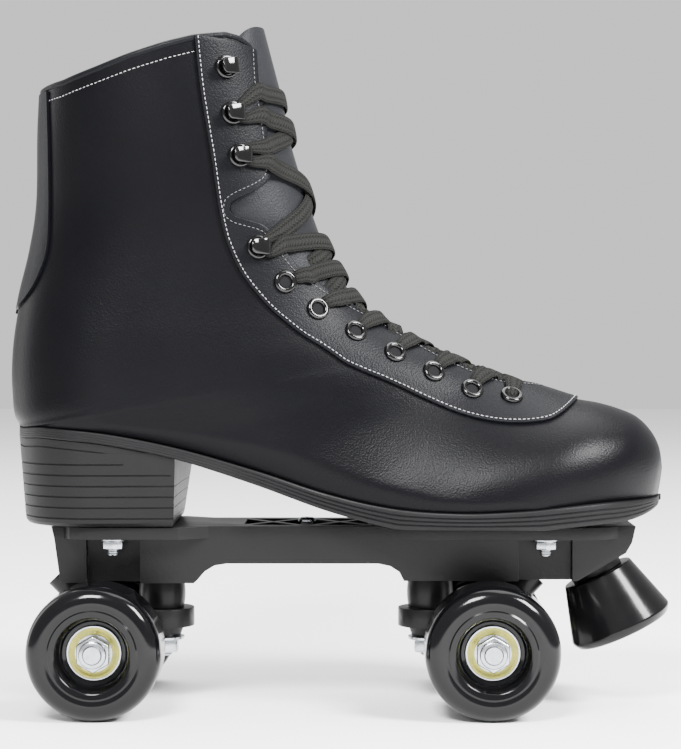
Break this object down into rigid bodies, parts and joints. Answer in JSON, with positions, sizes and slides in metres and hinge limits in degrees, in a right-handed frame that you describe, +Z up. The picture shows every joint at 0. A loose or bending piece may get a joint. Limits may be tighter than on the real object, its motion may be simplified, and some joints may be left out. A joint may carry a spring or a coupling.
{
  "type": "quad roller skate",
  "caption": "Laced high boot with a stacked heel on a moulded plate, with sprung trucks, wheels on bearings and a toe stop.",
  "frame": {"origin": "on the ground, under the middle of the skate's box", "axes": "+Z up, +X to the toe, +Y to the inner side of a right foot"},
  "size_m": [0.274, 0.114, 0.2818],
  "materials": {
    "leather": "black synthetic leather, fine pebble grain, satin",
    "leather_trim": "black synthetic leather, smoother, satin",
    "lining": "black textile lining",
    "sole": "black moulded sole, matte",
    "lace": "black flat braid",
    "black_enamel": "glossy black enamel",
    "nylon": "black glass-filled nylon, satin",
    "steel": "bright zinc plate",
    "bearing_zinc": "yellow zinc shield",
    "urethane": "glossy black urethane",
    "cushion": "black urethane, satin",
    "stop_rubber": "glossy black moulded rubber"
  },
  "bodies": {
    "root": {"boot_upper": "leather", "eyestay": "leather_trim", "tongue": "leather_trim", "backstay": "leather_trim", "insole": "lining", "outsole": "sole", "heel_block": "sole", "lace": "lace", "plate": "nylon", "plate_screw": "steel", "toe_stop": "stop_rubber", "toe_stop_bolt": "steel", "lace_hook_right_1": "black_enamel", "lace_hook_right_2": "black_enamel", "lace_hook_right_3": "black_enamel", "lace_hook_right_4": "black_enamel", "lace_hook_left_1": "black_enamel", "lace_hook_left_2": "black_enamel", "lace_hook_left_3": "black_enamel", "lace_hook_left_4": "black_enamel", "mount_bolt_front_right": "steel", "mount_nut_front_right": "steel", "mount_bolt_front_left": "steel", "mount_nut_front_left": "steel", "front_kingpin": "steel", "front_kingpin_nut": "steel", "front_cushion_washer": "steel", "front_cushion_upper": "cushion", "front_cushion_lower": "cushion", "front_pivot_cup": "cushion", "mount_bolt_rear_right": "steel", "mount_nut_rear_right": "steel", "mount_bolt_rear_left": "steel", "mount_nut_rear_left": "steel", "rear_kingpin": "steel", "rear_kingpin_nut": "steel", "rear_cushion_washer": "steel", "rear_cushion_upper": "cushion", "rear_cushion_lower": "cushion", "rear_pivot_cup": "cushion"},
    "front_truck": {"front_hanger": "nylon", "front_axle": "steel", "axle_nut_front_right": "steel", "axle_nut_front_left": "steel"},
    "rear_truck": {"rear_hanger": "nylon", "rear_axle": "steel", "axle_nut_rear_right": "steel", "axle_nut_rear_left": "steel"},
    "front_right_wheel": {"wheel_front_right": "urethane", "bearing_outer_front_right": "bearing_zinc", "bearing_inner_front_right": "bearing_zinc"},
    "front_left_wheel": {"wheel_front_left": "urethane", "bearing_outer_front_left": "bearing_zinc", "bearing_inner_front_left": "bearing_zinc"},
    "rear_right_wheel": {"wheel_rear_right": "urethane", "bearing_outer_rear_right": "bearing_zinc", "bearing_inner_rear_right": "bearing_zinc"},
    "rear_left_wheel": {"wheel_rear_left": "urethane", "bearing_outer_rear_left": "bearing_zinc", "bearing_inner_rear_left": "bearing_zinc"}
  },
  "joints": [
    {"name": "front_truck_lean", "type": "hinge", "parent": "root", "child": "front_truck", "pos_m": [0.0758, 0, 0.0485], "axis": [0.9477, 0, 0.3192], "range_deg": [-8, 8], "stiffness_Nm_per_rad": 40, "deforming": ["front_cushion_upper", "front_cushion_lower"]},
    {"name": "rear_truck_lean", "type": "hinge", "parent": "root", "child": "rear_truck", "pos_m": [-0.1128, 0, 0.0485], "axis": [-0.9477, 0, 0.3192], "range_deg": [-8, 8], "stiffness_Nm_per_rad": 40, "deforming": ["rear_cushion_upper", "rear_cushion_lower"]},
    {"name": "front_right_wheel_spin", "type": "hinge", "parent": "front_truck", "child": "front_right_wheel", "pos_m": [0.0608, -0.041, 0.027], "axis": [0, 1, 0], "continuous": true},
    {"name": "front_left_wheel_spin", "type": "hinge", "parent": "front_truck", "child": "front_left_wheel", "pos_m": [0.0608, 0.041, 0.027], "axis": [0, 1, 0], "continuous": true},
    {"name": "rear_right_wheel_spin", "type": "hinge", "parent": "rear_truck", "child": "rear_right_wheel", "pos_m": [-0.0978, -0.041, 0.027], "axis": [0, 1, 0], "continuous": true},
    {"name": "rear_left_wheel_spin", "type": "hinge", "parent": "rear_truck", "child": "rear_left_wheel", "pos_m": [-0.0978, 0.041, 0.027], "axis": [0, 1, 0], "continuous": true}
  ]
}
